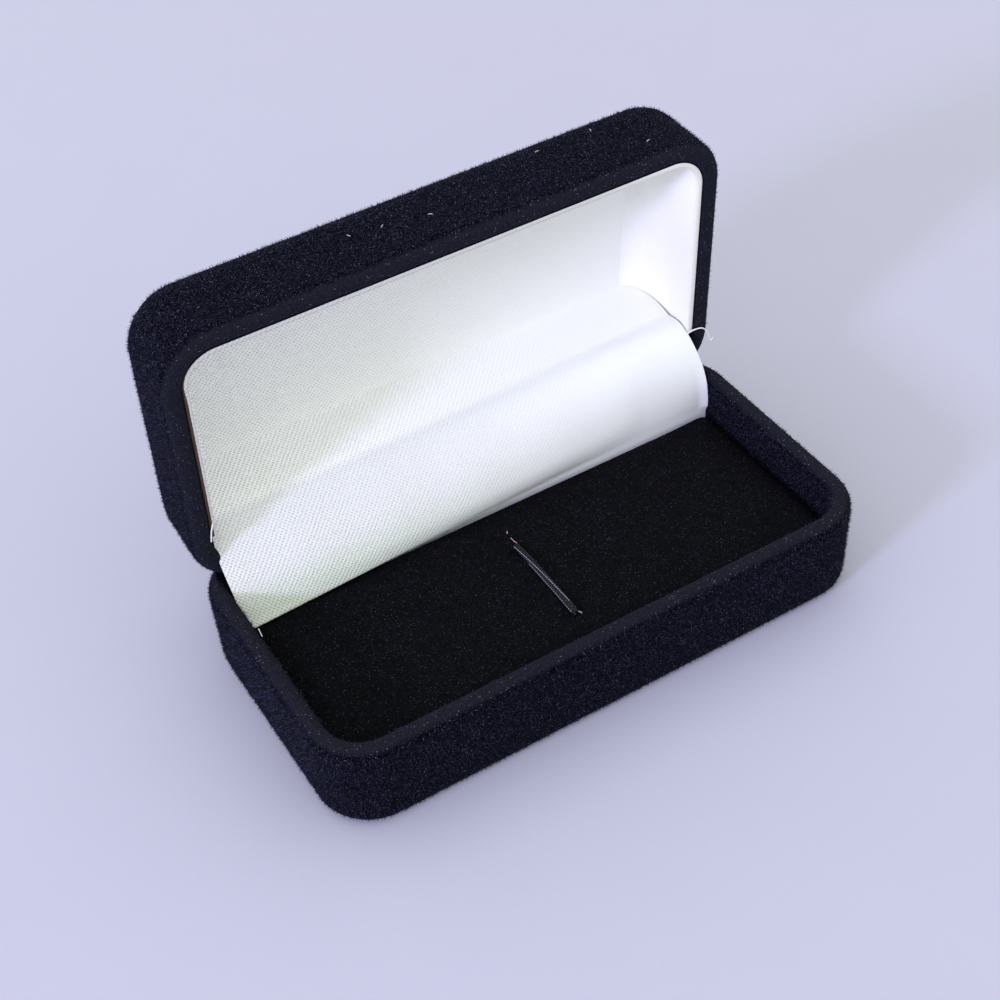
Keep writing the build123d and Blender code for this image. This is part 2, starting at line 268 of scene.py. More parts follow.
def nap_on(name, body, shell, seed, standing, doublings=16, length=0.00058, radius=0.00004):
    """Loose fibres that stand out of a shell's nap. standing gives each spot's share of
    the full length, and 0 where nothing shows."""
    chance = np.random.default_rng(seed)
    count = 2**doublings
    spots, normals = spots_on(shell, count * 3, chance)
    share = standing(spots * 1000, normals)
    kept = np.flatnonzero(share > 0)[:count]
    spots, normals, share = spots[kept], normals[kept], share[kept, None]
    bm = bmesh.new()
    bmesh.ops.create_cone(bm, cap_ends=False, segments=3, radius1=1, radius2=0, depth=1)
    fibre = mesh_of(bm, name)
    bm = bmesh.new()
    bm.from_mesh(fibre)
    corners = len(bm.verts)
    for _ in range(doublings):
        bmesh.ops.duplicate(bm, geom=bm.faces[:])
    extra = bm.verts[:][corners * len(kept):]
    bmesh.ops.delete(bm, geom=extra, context="VERTS")
    mesh = mesh_of(bm, name, smooth=False)
    needle = np.empty(len(mesh.vertices) * 3)
    mesh.vertices.foreach_get("co", needle)
    needle = needle.reshape(-1, corners, 3)
    lean = normals + chance.normal(0, 0.46, normals.shape)
    lean /= np.linalg.norm(lean, axis=1)[:, None]
    side = np.cross(lean, chance.normal(0, 1, normals.shape))
    side /= np.linalg.norm(side, axis=1)[:, None]
    other = np.cross(lean, side)
    reach = length * share * chance.uniform(0.4, 1.0, share.shape)
    foot = spots - normals * sunk
    placed = foot[:, None] + (needle[:, :, 2:] + 0.5) * (reach * lean)[:, None]
    placed += radius * (needle[:, :, :1] * side[:, None] + needle[:, :, 1:2] * other[:, None])
    mesh.vertices.foreach_set("co", placed.ravel())
    for finish in (dark_fibre, lit_fibre):
        mesh.materials.append(finish.material)
    lit = chance.random(len(kept)) < lit_share
    first = np.array([polygon.vertices[0] for polygon in mesh.polygons]) // corners
    mesh.polygons.foreach_set("material_index", lit[first].astype(int))
    mesh.update()
    piece = add_piece(name, mesh)
    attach(piece, body)
    return piece


room_x, room_y, short_nap = 39.7, 19.2, 0.3


def stands_on_base(spots, normals):
    """Short on the rim, where the lid closes on it, and none under the pad or the case."""
    x, y, z = spots.T
    pad_z, sole_z, foot_z, rim_z = 9, 0.25, 0.7, 14.2
    hidden = ((abs(x) < room_x) & (abs(y) < room_y) & (z < pad_z)) | (z < sole_z)
    low = (z > rim_z) & (normals[:, 2] > 0.5)
    return np.where(hidden, 0, np.where(low, short_nap, np.where(z < foot_z, 0.5, 1.0)))


def stands_on_lid(spots, normals):
    """Short on the rim, and none behind the lining. The lid is measured as if shut."""
    y, z = spots[:, 1] - hinge_y, spots[:, 2] - hinge_z
    shut_y = y * math.cos(open_angle) - z * math.sin(open_angle) + hinge_y
    shut_z = y * math.sin(open_angle) + z * math.cos(open_angle) + hinge_z
    facing = normals[:, 1] * math.sin(open_angle) + normals[:, 2] * math.cos(open_angle)
    lining_low, lining_high, rim_z = 15.3, 29, 15.6
    inside = (abs(spots[:, 0]) < room_x - 0.1) & (abs(shut_y) < room_y)
    lined = inside & (shut_z > lining_low) & (shut_z < lining_high)
    low = (shut_z < rim_z) & (facing < -0.5)
    return np.where(lined, 0, np.where(low, short_nap, 1.0))


nap_on("base_nap", "base", nodes["base_shell"], 11, stands_on_base)
nap_on("lid_nap", "lid", nodes["lid_shell"], 31, stands_on_lid)

# ---------------------------------------------------------------- hinge
# Two stamped leaves of steel strip turn on two rivets, and a bowed strip of
# blued spring steel presses on the flats of the curled leaf.
steel = Finish("stamped_steel", Metallic=1.0)
streaks = steel.grain(5200, 2, steel.stretched(steel.place(), (0.04, 1, 1)))
tarnish = steel.grain(130, 3)
steel.show(
    Base_Color=steel.mix(
        steel.ramp(tarnish, 0.4, 0.75), (0.58, 0.58, 0.59, 1), (0.45, 0.43, 0.4, 1)
    ),
    Roughness=0.24 + streaks * 0.2,
    Normal=steel.bump(streaks, 0.00001),
)
steel.on(nodes["base_hinge_leaf"], nodes["lid_hinge_leaf"])

rivet_steel = Finish("rivet_steel", Metallic=1.0)
tumbled = rivet_steel.grain(4000, 3)
rivet_steel.show(
    Base_Color=rivet_steel.mix(tumbled, (0.42, 0.41, 0.4, 1), (0.6, 0.6, 0.6, 1)),
    Roughness=0.18 + tumbled * 0.25,
    Normal=rivet_steel.bump(tumbled, 0.00001),
)
rivet_steel.on(nodes["hinge_pins"])

spring_steel = Finish("spring_steel", Metallic=1.0)
temper = spring_steel.grain(160, 2)
spring_steel.show(
    Base_Color=spring_steel.mix(temper, (0.16, 0.17, 0.24, 1), (0.33, 0.3, 0.29, 1)),
    Roughness=0.2 + spring_steel.grain(6000, 1) * 0.15,
)
spring_steel.on(nodes["snap_spring"])

# ---------------------------------------------------------------- cards
# The lining and the pad are stiffened with plain grey-brown board, cut with a
# raw edge that shows its pulp.
board = Finish("lining_board", Roughness=0.9, Specular_IOR_Level=0.2)
pulp = board.grain(2400, 4)
flecks = board.ramp(board.grain(5200, 1), 0.62, 0.72)
raw = board.mix(pulp, (0.08, 0.05, 0.03, 1), (0.2, 0.13, 0.08, 1))
# painted shade: the board is painted near-black along the lid's front, a shadow gap over its raw
# edge
gap_shade_height = board.coordinate(board.place(), 2)
board.show(
    Base_Color=board.mix(
        board.ramp(gap_shade_height, 0.0505, 0.0525),
        board.mix(flecks, raw, (0.07, 0.04, 0.025, 1)),
        (0.004, 0.004, 0.009, 1),
    ),
    Normal=board.bump(pulp, 0.00006),
)
for name in ("lid_wall_card", "lid_ceiling_card", "lid_back_card", "flap_anchor_card", "pad_card"):
    board.on(nodes[name])

# ---------------------------------------------------------------- satin lining
# White acetate satin is glued round the lid's walls and over its ceiling. The
# same cloth covers the hinge and hangs from there as a loose flap, whose end is
# tucked behind the pad. Its cut lies a little off the grain.
satin = Finish(
    "white_satin",
    Specular_IOR_Level=0.4,
    Sheen_Weight=0.25,
    Sheen_Roughness=0.3,
)
thread_place = satin.node("ShaderNodeUVMap", {"uv_map": "threads"})
uneven = satin.grain(0.9, 2, satin.stretched(thread_place, (0.5, 0.5, 1)))


def thread_wave(crossings, drift):
    """Runs from -1 to 1 and back, with so many crossings to the millimetre in X and down."""
    settings = {"operation": "DOT_PRODUCT"}
    sockets = {0: thread_place, 1: (*[2 * math.pi * count for count in crossings], 0)}
    turn = satin.node("ShaderNodeVectorMath", settings, sockets, 1) + uneven * drift
    return turn.maths("COSINE", turn)


falling, rising = thread_wave((1.29, 1.25), 4.4), thread_wave((-1.86, 1.65), 3.6)
weft = thread_wave((-0.57, 2.9), 1.8)
weave = falling + rising * 0.95 + weft * 0.45
fuzz = satin.grain(4.6, 2, thread_place)
holes = satin.ramp(weave * 0.8 + fuzz * 5 - 2.5, -0.2, -1.9)
slubs = satin.grain(2.2, 3, satin.stretched(thread_place, (0.1, 1.4, 1)))
along = satin.coordinate(satin.place(), 0)
slubbed = satin.ramp(slubs, 0.35, 0.8)
new_cloth = satin.mix(slubbed, (0.95, 0.955, 0.945, 1), (0.92, 0.925, 0.925, 1))
# painted shade: it is darker towards its right end, and more low on the right wall there, where
# the lamp falls strongest
right_end_shade = satin.mix(satin.ramp(along, -0.022, 0.036), new_cloth, (0.86, 0.865, 0.855, 1))
up = satin.coordinate(satin.place(), 2)
right_wall_shade = satin.mix(satin.ramp(up, 0.034, 0.048), (0.83, 0.83, 0.78, 1), (0.95, 0.95, 0.93, 1))
in_lid = satin.mix(satin.ramp(along, 0.0365, 0.038), right_end_shade, right_wall_shade)
# the loose flap is painted greyer below the crease, most at its left, as painted shade, and it is
# painted a pale green at the lower left, where it lies on the pad, as green painted shade
down_cloth = satin.coordinate(thread_place, 1)
flap_shade = satin.mix(satin.ramp(along, -0.01, 0.03), (0.78, 0.79, 0.81, 1), (0.85, 0.865, 0.915, 1))
green_shade_low_left = satin.ramp(down_cloth, 47.5, 52) * satin.ramp(along, 0.012, -0.03)
flap = satin.mix(green_shade_low_left, flap_shade, (0.72, 0.79, 0.7, 1))
# painted shade: the hem's rolled edge is painted darker, most at its left
hem_shade = satin.mix(satin.ramp(along, 0.02, 0.036), (0.64, 0.64, 0.63, 1), (0.78, 0.78, 0.74, 1))
hemmed = satin.mix(satin.ramp(down_cloth, 1.5, 0.5), in_lid, hem_shade)
clean = satin.mix(satin.ramp(down_cloth, 37.2, 39), hemmed, flap)
# the weave's holes and relief fade out towards its right end
weave_shown = satin.ramp(along, 0.036, -0.045)
satin.show(
    Base_Color=satin.mix(holes * weave_shown, clean, (0.46, 0.49, 0.5, 1)),
    Roughness=0.5 - weave * 0.05,
    Normal=satin.bump(weave * (weave_shown + 0.15) + slubs, 0.000022),
)

satin_thickness = 0.15


def cloth(name, columns, rows, lay, behind):
    """A sheet laid point by point. lay(across, down), both from 0 to 1, gives its place and
    its threads in millimetres. Its thickness lies on the side that behind points to."""
    bm = bmesh.new()
    threads = bm.loops.layers.uv.new("threads")
    bmesh.ops.create_grid(bm, x_segments=columns, y_segments=rows, size=0.5)
    middle = min(bm.faces, key=lambda face: face.calc_center_median().length)
    laid = {corner: lay(corner.co.x + 0.5, corner.co.y + 0.5) for corner in bm.verts}
    for face in bm.faces:
        for loop in face.loops:
            loop[threads].uv = laid[loop.vert][1]
    for corner, (place, _) in laid.items():
        corner.co = Vector(place) * 0.001
    bm.normal_update()
    if middle.normal.dot(Vector(behind)) > 0:
        bmesh.ops.reverse_faces(bm, faces=bm.faces)
    piece = add_piece(name, mesh_of(bm, name))
    satin.on(piece)
    return piece


def finish_mesh(piece):
    """Applies what stands on a piece's stack to its mesh."""
    bpy.context.view_layer.update()
    found = bpy.context.evaluated_depsgraph_get()
    mesh = bpy.data.meshes.new_from_object(piece.evaluated_get(found))
    piece.modifiers.clear()
    piece.data = mesh


def thicken(piece):
    solid = piece.modifiers.new("thickness", "SOLIDIFY")
    solid.thickness = satin_thickness * 0.001
    solid.offset = -1
    finish_mesh(piece)
    piece.data.set_sharp_from_angle(angle=math.radians(55))


def opened(x, y, z):
    """A point of the shut lid, in millimetres, where the open lid has it."""
    y, z = y - hinge_y, z - hinge_z
    open_y = y * math.cos(open_angle) + z * math.sin(open_angle)
    open_z = z * math.cos(open_angle) - y * math.sin(open_angle)
    return x, open_y + hinge_y, open_z + hinge_z


def smooth(share):
    share = min(1.0, max(0.0, share))
    return share * share * (3 - 2 * share)


# the lining as it lies in the shut lid, in millimetres
wall_x, wall_y, wall_corner = 38.65, 18.15, 4.35
hem_z, ceiling_z = 15.25, 27.5
fold_a, fold_b = (10.7, 27.5), (12.7, 19.8)
card_edge = 0.79
# where the case's middle, Y 0, falls down the cloth of the ceiling
threads_down = 18.6
# how far the wall's satin leans in at the ceiling, and from what depth: slack at the rear
slack_lean, tight_lean = 4.6, 4.35
slack_depth, tight_depth = 7.4, 4.45
side_run = wall_y - wall_corner + fold_b[0] + 0.5
corner_run = wall_corner * math.pi / 2
front_run = 2 * (wall_x - wall_corner)
round_run = 2 * side_run + 2 * corner_run + front_run


def leaning(distance):
    """The lean and depth of the wall's satin, so far along it from either rear end."""
    tight = smooth(distance / side_run)
    lean = slack_lean + (tight_lean - slack_lean) * tight
    return lean, slack_depth + (tight_depth - slack_depth) * tight


def wall_section(distance, left):
    """Points (inset, height) from the hem over the card's edge up to the ceiling."""
    lean, depth = leaning(distance)
    slipped = 0.35 * smooth((side_run + 3 - distance) / 5) if left else 0.0
    edge = card_edge - slipped
    hem = [(-edge, hem_z + 0.06), (-edge * 0.85, hem_z), (-edge * 0.5, hem_z - 0.02)]
    hem += [(-edge * 0.2, hem_z + 0.02), (-0.03, hem_z + 0.12), (0.0, hem_z + 0.3)]
    rise = [(0.0, hem_z + 0.3 + (ceiling_z - depth - hem_z - 0.3) * k / 8) for k in range(1, 9)]
    roll = []
    for k in range(1, 13):
        w = k / 12
        bend = 2 * w * (1 - w) * 0.1
        roll.append((lean * (w * w + bend), ceiling_z - depth * ((1 - w) ** 2 + bend) + 0.1 * w))
    return hem + rise + roll


wall_rows = len(wall_section(0, False)) - 1


def wall_point(across, down):
    """Round the lid from its left rear to its right rear, up from the hem to the ceiling."""
    run = across * round_run
    distance = min(run, round_run - run)
    section = wall_section(distance, run < round_run / 2)
    step = round(down * wall_rows)
    inset, z = section[step]
    risen = sum(math.dist(a, b) for a, b in zip(section[:step], section[1: step + 1]))
    if distance <= side_run:
        x, y = -wall_x + inset, wall_corner - wall_y + side_run - distance
    elif distance <= side_run + corner_run:
        turn = (distance - side_run) / wall_corner
        x = wall_corner - wall_x - (wall_corner - inset) * math.cos(turn)
        y = wall_corner - wall_y - (wall_corner - inset) * math.sin(turn)
    else:
        x, y = wall_corner - wall_x + distance - side_run - corner_run, inset - wall_y
    y = min(y, fold_y(z) + 0.5)
    return opened(x if run < round_run / 2 else -x, y, z), (run, risen)


def fold_y(z):
    """Where the lining ends against the strip over the hinge."""
    share = max(0.0, (z - fold_b[1]) / (fold_a[1] - fold_b[1]))
    return fold_b[0] + (fold_a[0] - fold_b[0]) * share


wall_satin = cloth("satin_round_walls", 290, wall_rows, wall_point, (0, 0, 1))


def ceiling_point(across, down):
    """Flat over the ceiling card, its edges let in under the wall's satin."""
    y = fold_a[0] + 0.1 - down * (fold_a[0] + wall_y - tight_lean + 0.6)
    distance = min(side_run, side_run + wall_corner - wall_y - y)
    half = wall_x - leaning(distance)[0] + 0.5
    x = (across - 0.5) * 2 * half
    return opened(x, y, ceiling_z), (x, threads_down + y)


ceiling_satin = cloth("satin_over_ceiling", 70, 30, ceiling_point, (0, 1, 0))

# the loose cover over the hinge, from its tail up to where the strip begins: its line
# (Y, Z) at the left end, where it slumps over the pad, midway, and at the right, where
# it billows
tail = [(13.66, 2.0), (13.66, 5.0), (13.66, 8.0)]
left_line = tail + [(13.3, 9.3), (11.5, 9.3), (10.85, 9.45), (11.6, 10.35), (12.5, 11.7)]
left_line += [(13.45, 13.2), (14.45, 14.5), (15.6, 15.75), (17.0, 17.1), (18.5, 18.7)]
left_line += [(20.1, 20.4), (22.0, 22.1)]
middle_line = tail + [(13.4, 9.2), (12.75, 9.25), (12.3, 9.7), (12.05, 10.7), (12.15, 12.1)]
middle_line += [(12.75, 13.75), (13.55, 15.35), (14.6, 16.95), (15.9, 18.5), (17.5, 20.0)]
middle_line += [(19.6, 21.3), (22.0, 22.1)]
right_line = tail + [(13.66, 9.2), (13.66, 9.75), (13.66, 10.4), (13.72, 11.4), (13.85, 12.8)]
right_line += [(14.1, 14.5), (14.55, 16.5), (15.25, 18.4), (16.2, 20.1), (17.5, 21.5)]
right_line += [(19.5, 22.35), (22.0, 22.1)]
left_widths = [39.4] * 11 + [39.35, 39.1, 38.8, 38.6]
right_widths = [39.5] * 9 + [39.35, 39.05, 38.75, 38.5, 38.4, 38.35]
cover_half, slump_x, billow_x = 39.3, -38, 28
line_steps, strip_steps = 4, 12
line_ends = len(left_line) - 1
cover_rows = line_ends * line_steps + strip_steps
strip_top = opened(0, *fold_a)[1:]
slack_insets, slack_heights = zip(*wall_section(0, False))


def between(first, second, share):
    return tuple(a + (b - a) * share for a, b in zip(first, second))


def on_line(line, step):
    """A point of a smooth line through its corners, at so many steps from its start."""
    k = min(int(step), len(line) - 2)
    w = step - k
    before, start, end, after = (line[min(max(k + j, 0), len(line) - 1)] for j in (-1, 0, 1, 2))
    point = []
    for p, q, r, s in zip(before, start, end, after):
        point.append(0.5 * (2 * q + (r - p) * w + (2 * p - 5 * q + 4 * r - s) * w * w
                            + (3 * q - p - 3 * r + s) * w**3))
    return tuple(point)


def cover_line(across):
    """The cover's line (Y, Z) at one place along the case."""
    x = (across - 0.5) * 2 * cover_half
    share = min(1.0, max(-0.01, (x - slump_x) / (billow_x - slump_x)))
    corners = []
    for left, middle, right in zip(left_line, middle_line, right_line):
        corner = []
        for a, b, c in zip(left, middle, right):
            corner.append(a + (c - a) * share + 4 * share * (1 - share) * (b - (a + c) / 2))
        corners.append(tuple(corner))
    points = []
    for row in range(line_ends * line_steps + 1):
        step = row / line_steps
        y, z = on_line(corners, step)
        loose = math.sin(math.pi * min(1.0, max(0.0, (step - 4) / (line_ends - 4))))
        wave = 0.09 * math.sin(x * 0.21 + 0.9) + 0.06 * math.sin(x * 0.47 + 2.0)
        curl = 0.55 * smooth((x - 38.1) / 1.2)
        curl *= smooth((10.5 - step) / 4) * smooth((step - 1.8) / 2.4)
        points.append((y - wave * loose * 0.7 - curl, z + wave * loose * 0.7))
    fold = points[-1]
    points += [between(fold, strip_top, k / strip_steps) for k in range(1, strip_steps + 1)]
    return points


cover_lines = {}


def cover_point(across, down):
    """From the tail behind the pad up over the hinge to the ceiling."""
    key = round(across, 5)
    if key not in cover_lines:
        cover_lines[key] = cover_line(across)
    line = cover_lines[key]
    row = round(down * cover_rows)
    widths = left_widths if across < 0.5 else right_widths
    if row <= line_ends * line_steps:
        half = np.interp(row / line_steps, range(len(widths)), widths)
    else:
        share = (row - line_ends * line_steps) / strip_steps
        z = fold_b[1] + (fold_a[1] - fold_b[1]) * share
        leans = np.interp(z, slack_heights, slack_insets)
        half = widths[-1] - leans + 0.3 * share
    x = (across - 0.5) * 2 * half
    run = sum(math.dist(a, b) for a, b in zip(line[row:-1], line[row + 1:]))
    y, z = line[row]
    return (x, y, z), (x, threads_down + fold_a[0] + run)


hinge_satin = cloth("satin_over_hinge", 150, cover_rows, cover_point, (0, 1, -1))
for piece in (wall_satin, ceiling_satin, hinge_satin):
    thicken(piece)

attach(wall_satin, "lid")
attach(ceiling_satin, "lid")
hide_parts("lid_wall_satin")
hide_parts("lid_ceiling_satin")
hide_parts("hinge_satin")
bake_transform(hinge_satin)

# ---------------------------------------------------------------- loose threads
# Where the satin was cut, one thread has pulled out at the right of the hinge, a
# short tick hangs at the left, and a bit of it lies on the base's rim.
thread_white = Finish("loose_thread", Roughness=0.6, Specular_IOR_Level=0.3)
twist = thread_white.grain(9000, 1)
thread_white.show(Base_Color=thread_white.mix(twist, (0.72, 0.72, 0.76, 1), (0.9, 0.9, 0.92, 1)))


def hairs(name, lines, radius, finish, body, taper=0.5, fineness=6):
    """One piece of bent threads, each a thin tube along a smooth line near its points."""
    curve = bpy.data.curves.new(name, "CURVE")
    curve.dimensions = "3D"
    curve.bevel_depth = radius * 0.001
    curve.bevel_resolution = 1
    curve.resolution_u = fineness
    curve.use_fill_caps = True
    for line in lines:
        spline = curve.splines.new("NURBS")
        spline.points.add(len(line) - 1)
        for k, (point, (x, y, z)) in enumerate(zip(spline.points, line)):
            point.co = (x * 0.001, y * 0.001, z * 0.001, 1)
            point.radius = 1 - taper * k / len(line)
        spline.order_u = 3
        spline.use_endpoint_u = True
    drawn = bpy.data.objects.new(name, curve)
    scene.collection.objects.link(drawn)
    found = bpy.context.evaluated_depsgraph_get()
    mesh = bpy.data.meshes.new_from_object(drawn.evaluated_get(found))
    bpy.data.objects.remove(drawn)
    piece = add_piece(name, mesh)
    piece.data.shade_smooth()
    finish.on(piece)
    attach(piece, body)
    return piece


pulled_thread = [(38.45, 17.3, 21.4), (38.7, 16.9, 22.0), (39.6, 16.4, 22.5), (40.7, 16.3, 22.2)]
pulled_thread += [(41.5, 16.3, 21.0), (41.8, 16.3, 19.6), (42.1, 16.3, 19.0), (42.5, 16.3, 19.6)]
left_tick = [(-39.0, 17.4, 24.6), (-39.5, 16.95, 23.9), (-39.75, 16.9, 23.0), (-39.9, 16.9, 22.0)]
hairs("pulled_threads", [pulled_thread, left_tick], 0.11, thread_white, "lid", 0.1)
rim_bit = [(-39.5, 5.6, 14.75), (-39.65, 4.8, 14.95), (-39.7, 4.0, 14.8)]
hairs("thread_on_rim", [rim_bit], 0.05, thread_white, "base")

# ---------------------------------------------------------------- pad
# A board with thin foam on it is wrapped in black velvet, which is drawn tight
# and glued underneath. The foam crowns the top a little and rounds its edges,
# and the strap's two ends pull small dimples in it.
velvet = Finish("black_velvet", Roughness=0.95, Specular_IOR_Level=0.03)
short_pile = velvet.grain(4600, 2)
brushed = velvet.ramp(velvet.grain(700, 3), 0.3, 0.75)
ground = velvet.mix(brushed, (0.0026, 0.0028, 0.0038, 1), (0.0036, 0.0039, 0.0055, 1))
pile_ends = velvet.mix(velvet.ramp(short_pile, 0.54, 0.72) * 0.8, ground, (0.018, 0.019, 0.026, 1))
velvet.show(
    Base_Color=velvet.mix(velvet.dots(4600, 0.07, 0.36), pile_ends, (0.09, 0.092, 0.115, 1)),
    Normal=velvet.bump(short_pile + brushed * 0.5, 0.00016),
)

pad_low, pad_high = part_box("pad_velvet")
slack_velvet, deepest_swell = 0.0003, 0.00036
front_corner, rear_corner, top_round = 0.005, 0.001, 0.0007
dimple_depth, dimple_size = 0.0005, 0.0011
strap_x, strap_rear, strap_front = -0.0005, 0.0043, -0.0112
bm = bmesh.new()
bmesh.ops.create_cube(bm, size=1)
bmesh.ops.scale(bm, vec=pad_high - pad_low - Vector([2 * slack_velvet] * 3), verts=bm.verts)
bmesh.ops.translate(bm, vec=(pad_low + pad_high) / 2, verts=bm.verts)


def upright_edges(rear):
    ends = [edge.verts[0].co for edge in bm.edges], [edge.verts[1].co for edge in bm.edges]
    middle = (pad_low.y + pad_high.y) / 2
    upright = []
    for edge, a, b in zip(bm.edges, *ends):
        if abs(a.z - b.z) > 0.001 and (a.y > middle) == rear:
            upright.append(edge)
    return upright


for rear, radius in ((False, front_corner), (True, rear_corner)):
    edges = upright_edges(rear)
    bmesh.ops.bevel(bm, geom=edges, offset=radius, segments=6, profile=0.5, affect="EDGES")
top_z = max(corner.co.z for corner in bm.verts)
top_edges = [edge for edge in bm.edges if min(corner.co.z for corner in edge.verts) > top_z - 1e-6]
bmesh.ops.bevel(bm, geom=top_edges, offset=top_round, segments=3, profile=0.5, affect="EDGES")
pad = add_piece("velvet_pad", mesh_of(bm, "velvet_pad"))

remesh = pad.modifiers.new("even_mesh", "REMESH")
remesh.mode, remesh.voxel_size = "VOXEL", 0.0008
finish_mesh(pad)
drawn_tight = np.array([corner.co[:] for corner in pad.data.vertices])
glued = pad.vertex_groups.new(name="glued")
under = np.flatnonzero(drawn_tight[:, 2] < pad_low.z + 0.001)
glued.add(under.tolist(), 1, "REPLACE")
foam = pad.modifiers.new("foam", "CLOTH")
foam.settings.quality = 6
foam.settings.mass = 0.00002
foam.settings.use_pressure = True
foam.settings.uniform_pressure_force = 2
foam.settings.tension_stiffness = foam.settings.compression_stiffness = 12
foam.settings.bending_stiffness = 0.4
foam.settings.vertex_group_mass = "glued"
foam.settings.effector_weights.gravity = 0
settled = 20
foam.point_cache.frame_start, foam.point_cache.frame_end = 1, settled
for step in range(1, settled + 1):
    scene.frame_set(step)
finish_mesh(pad)
scene.frame_set(1)
swollen = np.array([corner.co[:] for corner in pad.data.vertices])
moved = swollen - drawn_tight
reach = np.linalg.norm(moved, axis=1)[:, None]
moved *= np.minimum(1, deepest_swell / np.maximum(reach, 1e-9))
pad.data.vertices.foreach_set("co", (drawn_tight + moved).ravel())
pad.vertex_groups.clear()
rounded = pad.modifiers.new("rounded", "SUBSURF")
rounded.levels = rounded.render_levels = 1
finish_mesh(pad)
for corner in pad.data.vertices:
    if corner.co.z > pad_low.z + 0.002:
        for hole_y in (strap_rear, strap_front):
            away = math.hypot((corner.co.x - strap_x) * 0.8, corner.co.y - hole_y)
            corner.co.z -= dimple_depth * math.exp(-((away / dimple_size) ** 2))
pad.data.shade_smooth()
velvet.on(pad)
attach(pad, "base")
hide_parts("pad_velvet", "pad_foam")

# ---------------------------------------------------------------- strap
# A short flat braid of glossy black yarn over rubber cores goes down through the
# pad at both ends and is stapled under its board. A cufflink's bar slips under it.
yarn = Finish("black_yarn", Specular_IOR_Level=0.24)
plies = yarn.grain(14000, 1)
yarn.show(
    Base_Color=yarn.mix(plies, (0.002, 0.002, 0.003, 1), (0.008, 0.008, 0.011, 1)),
    Roughness=0.14 + plies * 0.14,
    Normal=yarn.bump(plies, 0.000001),
)
strap_half_width, strap_half_depth, yarn_radius, core_radius = 0.42, 0.2, 0.13, 0.19
lay_length, strands_each_way, dip = 3.6, 5, 0.045
under_z, over_z, arch = 5.95, 9.45, 0.3
rear_y, front_y = 1000 * strap_rear, 1000 * strap_front
strap_corners = [(0.6, under_z), (rear_y, under_z), (rear_y, over_z), (front_y, over_z)]
strap_corners += [(front_y, under_z), (-6.5, under_z)]
strap_bend = 0.45


def strap_line(step_length=0.12):
    """The braid's middle line (Y, Z), from its rear end under the board to its front one."""
    line = [strap_corners[0]]
    for before, corner, after in zip(strap_corners, strap_corners[1:], strap_corners[2:]):
        leave = between(corner, before, strap_bend / math.dist(corner, before))
        enter = between(corner, after, strap_bend / math.dist(corner, after))
        straight = max(1, round(math.dist(line[-1], leave) / step_length))
        line += [between(line[-1], leave, k / straight) for k in range(1, straight + 1)]
        for k in range(1, 6):
            first, second = between(leave, corner, k / 5), between(corner, enter, k / 5)
            line.append(between(first, second, k / 5))
    straight = round(math.dist(line[-1], strap_corners[-1]) / step_length)
    line += [between(line[-1], strap_corners[-1], k / straight) for k in range(1, straight + 1)]
    length = rear_y - front_y
    risen = []
    for y, z in line:
        along = min(1.0, max(0.0, (y - front_y) / length))
        risen.append((y, z + arch * math.sin(math.pi * along) ** 0.8 * (z > over_z - 0.5)))
    return risen


braid_line = strap_line()


def wound(turns_each_mm, start, weave_turns, in_and_out, wide, deep):
    """A yarn that winds round the braid's middle line and dips under the ones it crosses."""
    points, run = [], 0.0
    for k, (y, z) in enumerate(braid_line):
        ahead, behind = braid_line[min(k + 1, len(braid_line) - 1)], braid_line[max(k - 1, 0)]
        run += math.dist(behind, (y, z))
        along = Vector((0, ahead[0] - behind[0], ahead[1] - behind[1])).normalized()
        outward = Vector((1, 0, 0)).cross(along)
        angle = start + 2 * math.pi * turns_each_mm * run
        lift = in_and_out * math.cos(2 * math.pi * weave_turns * turns_each_mm * run)
        wide_now, deep_now = wide + lift, deep + lift
        offset = Vector((1, 0, 0)) * wide_now * math.cos(angle)
        offset += outward * deep_now * math.sin(angle)
        points.append((1000 * strap_x + offset.x, y + offset.y, z + offset.z))
    return points


yarns = []
for way in (1, -1):
    for k in range(strands_each_way):
        start, turns = 2 * math.pi * k / strands_each_way, way / lay_length
        half_sizes = (strap_half_width, strap_half_depth)
        yarns.append(wound(turns, start, strands_each_way, dip * way, *half_sizes))
braid = hairs("braided_strap", yarns, yarn_radius, yarn, "base", 0, 1)
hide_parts("elastic_strap")
rubber = Finish("rubber_core", Roughness=0.6)
bloom = rubber.grain(3000, 2)
rubber.show(Base_Color=rubber.mix(bloom, (0.003, 0.003, 0.004, 1), (0.008, 0.008, 0.01, 1)))
cores = []
for side in (-0.3, 0, 0.3):
    cores.append([(1000 * strap_x + side, y, z) for y, z in braid_line])
hairs("strap_rubber_cores", cores, core_radius, rubber, "base", 0, 1)

wire = Finish("staple_wire", Metallic=1.0)
drawn_wire = wire.grain(5000, 2)
wire.show(
    Base_Color=wire.mix(drawn_wire, (0.5, 0.5, 0.51, 1), (0.62, 0.62, 0.62, 1)),
    Roughness=0.2 + drawn_wire * 0.2,
)
wire.on(nodes["strap_staples"])

# ---------------------------------------------------------------- lint
# A few pale fibres of dust have caught in the nap along the lid's top edge, each
# lying its own way.
dust = Finish("pale_dust", Roughness=0.8, Base_Color=(0.5, 0.5, 0.53, 1))
lint_spots = [(18.3, 24.8, 56.9), (27.0, 25.0, 56.9), (-0.8, 20.4, 56.9), (-7.2, 21.7, 56.9)]
lint_spots += [(-11.7, 22.4, 56.9), (31.9, 18.2, 56.9), (-0.1, 17.2, 55.2)]
lint = []
for k, (x, y, z) in enumerate(lint_spots):
    turn = 1.3 * k
    dx, dy = 0.28 * math.cos(turn), 0.28 * math.sin(turn)
    lint.append([(x - dx, y - dy, z), (x + dy * 0.5, y, z + 0.1), (x + dx, y + dy, z)])
hairs("lid_lint", lint, 0.06, dust, "lid")
